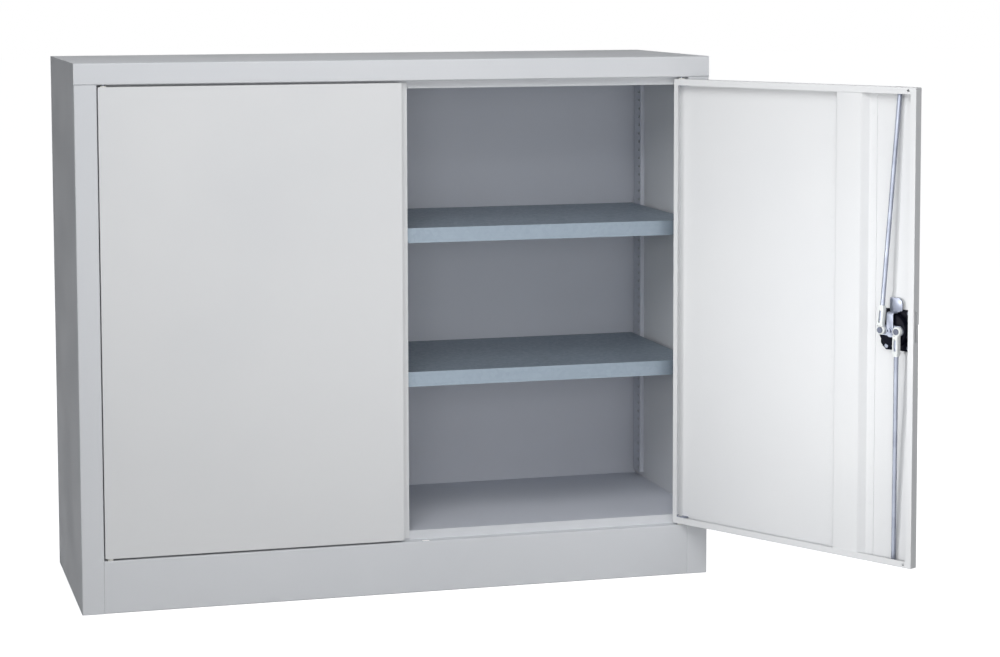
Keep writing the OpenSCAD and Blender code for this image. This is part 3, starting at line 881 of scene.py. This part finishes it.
def lock_place(frame: dict) -> Matrix:
    """Finds the lock's own frame from the joint that its grip turns on.


    Returns:
        The frame, with x to the hinge side, y inwards and z up.
    """
    joint = next(entry for entry in frame["joints"] if entry["name"] == "latch_turn")
    inwards, up = -Vector(joint["axis"]).normalized(), Vector((0, 0, 1))
    turn = Matrix((inwards.cross(up), inwards, up)).transposed().to_4x4()
    return Matrix.Translation(joint["pos_m"]) @ turn


@dataclass
class LockCase:
    """The fixed part of the lock: recess, plate behind the sheet and screws."""

    place: Matrix
    rim: tuple[float, float, float] = (78.0, 2.5, 90.0)
    corner: float = 8.0
    recess_r: float = 27.0
    recess_v: float = 13.0
    recess_fillet: float = 3.5
    wall: float = 2.0
    back_v: float = 16.0
    shaft_hole_r: float = 6.1
    sheet: float = 1.2
    plate_v: float = 5.0
    plate_low: tuple[float, float] = (-35.0, -37.0)
    plate_high: tuple[float, float] = (31.0, 37.0)
    chamfer: float = 11.0
    screw: tuple[float, float] = (28.0, 31.0)
    corner_shift: float = 8.0
    head_r: float = 4.0
    head_t: float = 2.0
    head_dome: float = 0.9
    cross: tuple[float, float] = (2.3, 0.45)
    cross_depth: float = 1.1
    shank_r: float = 2.0
    hole_play: float = 0.05
    bowl_play: float = 0.2
    rim_border: float = 3.0
    rim_crown: float = 0.5
    bowl_edge: float = 1.5
    plate_round: float = 2.5
    plate_border: float = 1.6
    border_step: tuple[float, float] = (0.5, 0.7)

    def build(self, dresser: Dresser) -> None:
        """Makes the three pieces.

        Args:
            dresser: Who finishes them.
        """
        dresser.dress(self._recess(), "black_plastic", "door_right", "handle_shell")
        dresser.dress(self._plate(), "black_plastic", "door_right", "lock_base_plate")
        dresser.dress(self._screws(), "zinc_plate", "door_right", "lock_screws")

    def _screw_places(self) -> list[tuple[float, float]]:
        """Lists the four screws' middles in x and z."""
        across, up = self.screw
        return [(-across, -up), (-across, up), (across, up), (across - self.corner_shift, -up)]

    def _bores(self, radius: float, low: float, high: float) -> Workpiece:
        """Makes one cutter for a hole at each screw."""
        bores = [Workpiece.disc("bore", radius, low, high, 24, at) for at in self._screw_places()]
        return bores[0].gather(bores[1:])

    def _recess(self) -> Workpiece:
        """Makes the escutcheon: a crowned rim and a filleted bowl for the fingers.

        Returns:
            The piece.
        """
        width, thick, height = self.rim
        shell = Workpiece.block("lock_recess", (-width / 2, -thick, -height / 2), (width / 2, 0, height / 2))
        shell.take(Part.EDGE, lambda middle, way: abs(way.y) > ALONG).bevel(self.corner, 8).leave()
        shell.take(Part.FACE, lambda middle, way: way.y < -ALONG).inset(self.rim_border).leave()
        shell.take(Part.FACE, lambda middle, way: way.y < -ALONG and abs(middle.x) < 1 and abs(middle.z) < 1)
        shell.move(y=-self.rim_crown).leave()
        outer = Workpiece.disc("bowl_outside", self.recess_r + self.wall, -1, self.back_v, 72)
        outer.take(Part.EDGE, lambda middle, way: middle.y > self.back_v - 0.1).bevel(self.bowl_edge).leave()
        shell.combine(outer, "UNION")
        bowl = Workpiece.disc("bowl_inside", self.recess_r, -thick - 3 * OVERRUN, self.recess_v, 72)
        bowl.take(Part.EDGE, lambda middle, way: middle.y > self.recess_v - 0.1)
        bowl.bevel(self.recess_fillet, 5).leave()
        shell.combine(bowl, "DIFFERENCE")
        shaft_hole = Workpiece.disc("shaft_hole", self.shaft_hole_r, self.recess_v - OVERRUN,
                                    self.back_v + OVERRUN, 40)
        shell.combine(shaft_hole, "DIFFERENCE")
        blind_bores = self._bores(self.shank_r + self.hole_play, 1 - thick, OVERRUN)
        shell.combine(blind_bores, "DIFFERENCE")
        return shell.soften(0.8, 3, 50).settle(self.place)

    def _plate(self) -> Workpiece:
        """Makes the plate behind the sheet, with its raised border and one cut corner.

        Returns:
            The piece.
        """
        (x0, z0), (x1, z1) = self.plate_low, self.plate_high
        plate = Workpiece.block("lock_back_plate", (x0, self.sheet, z0), (x1, self.plate_v, z1))
        plate.take(Part.EDGE, lambda middle, way: abs(way.y) > ALONG and middle.x > 0 and middle.z < 0)
        plate.bevel(self.chamfer, 1).leave()
        plate.take(Part.EDGE, lambda middle, way: abs(way.y) > ALONG and (middle.x < 0 or middle.z > 0))
        plate.bevel(self.plate_round, 4).leave()
        step, sink = self.border_step
        plate.take(Part.FACE, lambda middle, way: way.y > ALONG)
        plate.inset(self.plate_border).inset(step, -sink).leave()
        past = self.plate_v + OVERRUN
        bowl_way = Workpiece.disc("bowl_way", self.recess_r + self.wall + self.bowl_play, 0, past, 72)
        plate.combine(bowl_way, "DIFFERENCE")
        plate.combine(self._bores(self.shank_r + self.hole_play, 0, past), "DIFFERENCE")
        head_seats = self._bores(self.head_r + self.hole_play, self.plate_v - self.head_t, past)
        plate.combine(head_seats, "DIFFERENCE")
        return plate.soften(0.3, 2, 50).settle(self.place)

    def _screws(self) -> Workpiece:
        """Makes the four screws, with domed heads and cross recesses.

        Returns:
            The piece.
        """
        low = self.plate_v - self.head_t
        screw = Workpiece.disc("case_screws", self.head_r, low, self.plate_v, 32)
        screw.take(Part.FACE, lambda middle, way: way.y < -ALONG).inset(self.head_r - self.shank_r)
        screw.extrude(y=-low - self.sheet).leave()
        screw.take(Part.EDGE, lambda middle, way: middle.y > self.plate_v - 0.1).bevel(self.head_dome).leave()
        for across, up in (self.cross, self.cross[::-1]):
            arm = Workpiece.block("recess_arm", (-across, self.plate_v - self.cross_depth, -up),
                                  (across, self.plate_v + OVERRUN, up))
            screw.combine(arm, "DIFFERENCE")
        screws = [screw.copy(x=x, z=z) for x, z in self._screw_places()]
        bpy.data.objects.remove(screw.thing, do_unlink=True)
        row = screws[0].gather(screws[1:])
        row.thing.name = row.thing.data.name = "case_screws"
        return row.settle(self.place)


@dataclass
class TurningLock:
    """What turns in the lock: the grip and the tongue."""

    place: Matrix
    hub_r: float = 12.5
    hub_front: float = -7.0
    hub_back: float = 12.5
    wing_end: float = 24.3
    wing_start: float = 11.0
    wing_half: float = 6.5
    wing_round: float = 6.0
    wing_tip: float = 7.0
    tip_share: float = 0.72
    tip_back: tuple[float, float] = (2.0, 0.5)
    panel: tuple[float, float] = (13.0, 17.0)
    panel_inset: tuple[float, float] = (1.3, 0.7)
    edge_r: float = 0.7
    barrel_r: float = 9.05
    barrel_v: float = 6.0
    shaft_r: float = 6.0
    rotor_v: float = 17.0
    stub_r: float = 3.9
    stub_v: float = 22.5
    bore_r: float = 2.5
    bore_v: float = 16.0
    tongue_t: float = 2.5
    arm_v: float = 20.0
    nose_v: float = 6.3
    arm_half: float = 7.0
    joggle_z: float = 31.55
    nose_end: float = 58.0
    nose_side: tuple[float, float] = (-17.0, 10.0)
    nose_run: float = 4.0
    joggle_r: float = 3.0
    lead_round: float = 11.0
    trail_round: float = 2.5
    square_half: float = 4.05
    tongue_edge: float = 0.35

    def build(self, dresser: Dresser) -> None:
        """Makes the two pieces.

        Args:
            dresser: Who finishes them.
        """
        dresser.dress(self._grip(), "handle_plastic", "latch", "turn_handle")
        dresser.dress(self._tongue(), "zinc_plate", "latch", "latch_tongue")

    def _grip(self) -> Workpiece:
        """Makes the grip: a hub with two tapering wings, pressed finger panels, a bore and a shaft.

        Returns:
            The piece.
        """
        grip = Workpiece.disc("turn_grip", self.hub_r, self.hub_front, self.hub_back, 40)
        for side in (-1, 1):
            grip.take(Part.FACE, lambda middle, way: way.x * side > 0.77).extrude(x=side * 12)
            grip.scale((0, 1, 1), (side * self.wing_end, 0, 0)).leave()
        grip.take(Part.EDGE, lambda middle, way: abs(middle.x) > self.wing_start
                  and abs(middle.z) < self.wing_half and abs(way.z) < 0.4)
        bpy.ops.mesh.dissolve_edges(use_verts=True)
        grip.leave()
        grip.take(Part.EDGE, lambda middle, way: abs(middle.x) > self.wing_end - 1 and abs(way.y) > ALONG
                  and abs(middle.z) > 5)
        grip.bevel(self.wing_round, 5).leave()
        tip = self.wing_end - self.wing_tip
        front, back = self.tip_back
        grip.take(Part.VERT, lambda middle, way: abs(middle.x) > tip and middle.y < 0)
        grip.scale((1, 1, self.tip_share)).move(y=front).leave()
        grip.take(Part.VERT, lambda middle, way: abs(middle.x) > tip and middle.y > 12)
        grip.move(y=-back).leave()
        near, far = self.panel
        grip.take(Part.FACE, lambda middle, way: abs(way.z) > 0.8 and near < abs(middle.x) < far)
        border, sink = self.panel_inset
        bpy.ops.mesh.inset(thickness=border * MM, depth=-sink * MM, use_individual=True)
        grip.leave()
        grip.soften(self.edge_r, 3)
        barrel_way = Workpiece.disc("barrel_way", self.barrel_r, self.hub_front - OVERRUN, self.barrel_v, 72)
        grip.combine(barrel_way, "DIFFERENCE")
        return grip.combine(self._shaft(), "UNION").settle(self.place)

    def _shaft(self) -> Workpiece:
        """Makes the shaft behind the grip, with the stub for the rotor and the bore of its screw.

        Returns:
            The piece.
        """
        shaft = Workpiece.disc("grip_shaft", self.shaft_r, self.hub_back - 2 * OVERRUN, self.rotor_v, 48)
        shaft.take(Part.FACE, lambda middle, way: way.y > ALONG).inset(self.shaft_r - self.stub_r)
        shaft.extrude(y=self.stub_v - self.rotor_v).inset(self.stub_r - self.bore_r)
        return shaft.extrude(y=self.bore_v - self.stub_v).leave()

    def _tongue(self) -> Workpiece:
        """Makes the tongue: an arm on the rotor, a pressed joggle and a wide nose with round corners.

        Returns:
            The piece.
        """
        high, low = self.arm_v + self.tongue_t / 2, self.nose_v + self.tongue_t / 2
        half, lead, trail = self.arm_half, *self.nose_side
        bpy.ops.object.select_all(action="DESELECT")
        bpy.ops.mesh.primitive_plane_add(size=1, location=(0, high * MM, (self.joggle_z - half) / 2 * MM),
                                         rotation=(math.pi / 2, 0, 0))
        tongue = Workpiece("joggled_tongue")
        tongue.take(Part.VERT, lambda middle, way: True)
        tongue.scale((2 * half * MM, 1, (self.joggle_z + half) * MM), (0, high, (self.joggle_z - half) / 2))
        tongue.leave()
        tongue.take(Part.EDGE, lambda middle, way: middle.z > self.joggle_z - 1 and abs(way.x) > ALONG)
        tongue.extrude(y=low - high).extrude(z=self.nose_run)
        tongue.extrude(z=self.nose_end - self.joggle_z - self.nose_run).leave()
        for side, reach in ((-1, lead), (1, trail)):
            tongue.take(Part.VERT, lambda middle, way: middle.z > self.joggle_z + 2 and middle.x * side > 0)
            tongue.move(x=reach - side * half).leave()
        tongue.take(Part.EDGE, lambda middle, way: abs(middle.z - self.joggle_z) < 0.5 and abs(way.x) > ALONG)
        tongue.bevel(self.joggle_r, 5).leave()
        tongue.take(Part.VERT, lambda middle, way: middle.z > self.nose_end - 1 and middle.x < 0)
        bpy.ops.mesh.bevel(offset=self.lead_round * MM, segments=8, affect="VERTICES")
        tongue.leave()
        tongue.take(Part.VERT, lambda middle, way: (middle.z > self.nose_end - 1 and middle.x > trail - 1)
                    or middle.z < 1 - half)
        bpy.ops.mesh.bevel(offset=self.trail_round * MM, segments=4, affect="VERTICES")
        tongue.leave()
        tongue.apply("SOLIDIFY", thickness=self.tongue_t * MM, offset=0.0, use_even_offset=True)
        reach = self.square_half
        square_way = Workpiece.block("square_way", (-reach, self.arm_v - OVERRUN, -reach),
                                     (reach, self.arm_v + self.tongue_t + OVERRUN, reach))
        tongue.combine(square_way, "DIFFERENCE")
        return tongue.soften(self.tongue_edge, 2, 50).settle(self.place)


@dataclass
class RodClip:
    """A moulded clip: an eye on the rotor's stud and a socket for the rod."""

    place: Matrix
    side: int
    crank: float = 17.3
    door_v: float = 20.3
    head_r: float = 8.3
    head_t: float = 7.0
    stud_r: float = 3.05
    rod_v: float = 25.8
    rod_r: float = 4.05
    wall: float = 1.5
    width: float = 12.0
    length: float = 44.0
    taper: float = 6.0
    taper_share: tuple[float, float] = (0.74, 0.9)
    corner_r: float = 2.4
    eye_r: float = 1.2
    socket: float = 16.0
    channel: float = 2.7
    guide_v: float = 7.7

    def _rod_place(self) -> Matrix:
        """Finds the rod's own frame in the lock's.

        Returns:
            The frame, with its origin at the pivot and the rod along z.
        """
        sideways, run = (-24.3, 432.0) if self.side > 0 else (14.3, 424.0)
        drop = self.guide_v - self.rod_v
        length = Vector((sideways, drop, run)).length
        tilt = Matrix.Rotation(self.side * math.asin(-drop / length), 4, "X")
        swing = Matrix.Rotation(math.atan2(self.side * sideways, run), 4, "Y")
        return Matrix.Translation(Vector((self.side * self.crank, self.rod_v, 0)) * MM) @ swing @ tilt

    def _bar(self, name: str, section: tuple[float, float, float], span: tuple[float, float]) -> Workpiece:
        """Adds a square bar along the rod.

        Args:
            name: Name of the bar.
            section: Half its width, and how far it reaches outwards and inwards.
            span: Where it starts and ends, from the pivot.

        Returns:
            The bar.
        """
        half, outwards, inwards = section
        low, high = sorted(self.side * end for end in span)
        return Workpiece.block(name, (-half, -outwards, low), (half, inwards, high))

    def _along_rod(self, name: str, radius: float, low: float, high: float) -> Workpiece:
        """Adds a round bar along the rod.

        Args:
            name: Name of the bar.
            radius: Its radius.
            low: Where it starts, from the pivot.
            high: Where it ends.

        Returns:
            The bar.
        """
        bpy.ops.object.select_all(action="DESELECT")
        bpy.ops.mesh.primitive_cylinder_add(vertices=40, radius=radius * MM, depth=(high - low) * MM,
                                            location=(0, 0, self.side * (low + high) / 2 * MM))
        return Workpiece(name)

    def build(self, dresser: Dresser) -> None:
        """Makes the clip.

        Args:
            dresser: Who finishes it.
        """
        end = "upper" if self.side > 0 else "lower"
        half = self.rod_r + self.wall - 0.05
        clip = self._bar(f"moulded_clip_{end}", (self.width / 2, half, half), (0.0, self.length - self.taper))
        clip.take(Part.EDGE, lambda middle, way: abs(way.z) > ALONG).bevel(self.corner_r, 5).leave()
        clip.take(Part.FACE, lambda middle, way: way.z * self.side > ALONG).extrude(z=self.side * self.taper)
        clip.scale((*self.taper_share, 1)).inset(0.7, 0.5).leave()
        channel = self._bar("channel", (self.channel, -1.5, 2 * half),
                            (self.socket - 3, self.length - 1.5 * self.taper))
        bore = self._along_rod("rod_bore", self.rod_r, self.socket, self.length + 6)
        for piece in (clip, bore, channel):
            piece.put(self._rod_place())
        at = (self.side * self.crank, 0.0)
        top = self.door_v + self.head_t
        eye = Workpiece.disc("eye", self.head_r, self.door_v - OVERRUN, top, 48, at)
        eye.take(Part.EDGE, lambda middle, way: middle.y > top - 0.1).bevel(self.eye_r, 4).leave()
        clip.combine(Workpiece.disc("head_way", self.head_r + 0.5, top - 0.2, top + 12, 48, at), "DIFFERENCE")
        clip.combine(eye, "UNION").combine(bore, "DIFFERENCE").combine(channel, "DIFFERENCE")
        clip.combine(Workpiece.disc("stud_way", self.stud_r, self.door_v - 3, top + 8, 32, at), "DIFFERENCE")
        reach = 2 * self.length
        flat_cut = Workpiece.block("flat_cut", (-reach, self.door_v - reach, -reach),
                                   (reach, self.door_v, reach))
        clip.combine(flat_cut, "DIFFERENCE")
        clip.settle(self.place)
        dresser.dress(clip, "clip_plastic", f"{end}_rod", f"rod_clip_{end}")


@dataclass
class WeldMarks:
    """Rows of spot-weld dimples where the doors' stiffeners are welded to the sheets."""

    lock_u: float = 46.5
    lock_z: float = 525.0
    rows_u: tuple[float, float] = (101.5, 190.5)
    face_v: float = 2.2
    first_z: float = 140.0
    pitch: float = 64.0
    count: int = 13
    radius: float = 2.8
    proud: float = 0.22

    def build(self, dresser: Dresser, right: Matrix) -> None:
        """Makes the marks of both doors.

        Args:
            dresser: Who finishes them.
            right: The lock's frame, which the right door carries.
        """
        self._door("right", right, 1.0, self.lock_u, dresser)
        left = Matrix.Translation(Vector((0, -217.5, self.lock_z)) * MM)
        self._door("left", left, -1.0, -1.0, dresser)

    def _door(self, side: str, place: Matrix, way: float, start: float, dresser: Dresser) -> None:
        """Makes the marks of one door.

        Args:
            side: Which door.
            place: The frame that the marks are laid out in.
            way: 1 where x grows to the hinge side, and -1 where it falls.
            start: Where x is 0, measured from the free edge.
            dresser: Who finishes them.
        """
        mark = Workpiece.disc("mark", self.radius, self.face_v - 0.1, self.face_v + self.proud, 20)
        mark.take(Part.FACE, lambda middle, normal: normal.y > ALONG).inset(0.9).inset(0.5, -0.2)
        mark.inset(0.8, -0.05).leave()
        rows = [mark.copy(x=way * (u - start), z=self.first_z - self.lock_z + self.pitch * step)
                for u in self.rows_u for step in range(self.count)]
        bpy.data.objects.remove(mark.thing, do_unlink=True)
        marks = rows[0].gather(rows[1:])
        marks.thing.name = marks.thing.data.name = f"weld_marks_{side}"
        dresser.dress(marks.settle(place, 60), "door_paint", f"door_{side}")


def main() -> None:
    """Loads the frame, builds the studio and dresses the cabinet."""
    logging.basicConfig(level=logging.INFO, format="%(name)s: %(message)s")
    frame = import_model()
    bpy.context.scene.view_settings.view_transform = "Standard"
    Camera().build()
    Studio().build()
    finishes = Finishes().build()
    CadDressing(finishes).build(frame)
    dresser, place = Dresser(finishes), lock_place(frame)
    LockCase(place).build(dresser)
    TurningLock(place).build(dresser)
    for side in (1, -1):
        RodClip(place, side).build(dresser)
    WeldMarks().build(dresser, place)


if __name__ == "__main__":
    main()
